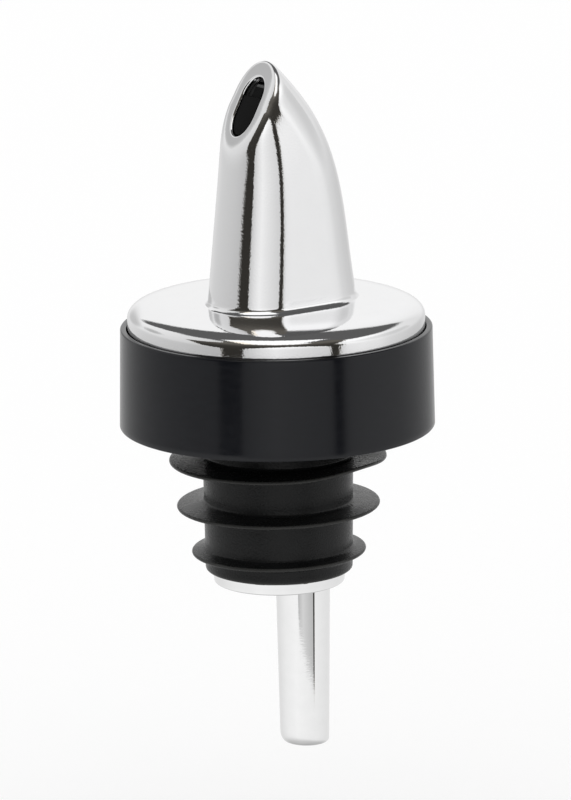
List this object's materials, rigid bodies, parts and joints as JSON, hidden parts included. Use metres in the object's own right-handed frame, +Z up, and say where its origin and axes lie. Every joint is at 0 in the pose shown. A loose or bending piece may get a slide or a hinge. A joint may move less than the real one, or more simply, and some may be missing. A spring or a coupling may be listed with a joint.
{
  "type": "liquor pourer",
  "caption": "Bottle pourer with a plated fin spout, a hinged gravity gate in its slanted mouth, a domed cap, a black collar, a finned rubber stopper and a breather tube.",
  "frame": {"origin": "on the stopper axis, in the plane where the bottle's lip meets the underside of the stopper's flange", "axes": "+Z up along the stopper axis out of the bottle, -Y towards the side that the mouth faces, +X across the spout"},
  "size_m": [0.035, 0.035, 0.0783],
  "materials": {
    "chrome_plate": "bright plated",
    "collar_black": "glossy moulded",
    "liner_black": "satin moulded",
    "gate_black": "satin moulded",
    "stopper_rubber": "matte, finely textured",
    "steel": "drawn"
  },
  "bodies": {
    "pourer": {"collar": "collar_black", "flange_cap": "chrome_plate", "spout_shell": "chrome_plate", "inner_spout": "liner_black", "gate_pin": "steel", "cork_sleeve": "stopper_rubber", "stem": "chrome_plate", "breather_tube": "chrome_plate", "air_duct": "steel"},
    "gate": {"gate_flap": "gate_black"}
  },
  "joints": [
    {"name": "gate_swing", "type": "hinge", "parent": "pourer", "child": "gate", "pos_m": [0, -0.00117, 0.03116], "axis": [-1, 0, 0], "range_deg": [0, 65]}
  ]
}
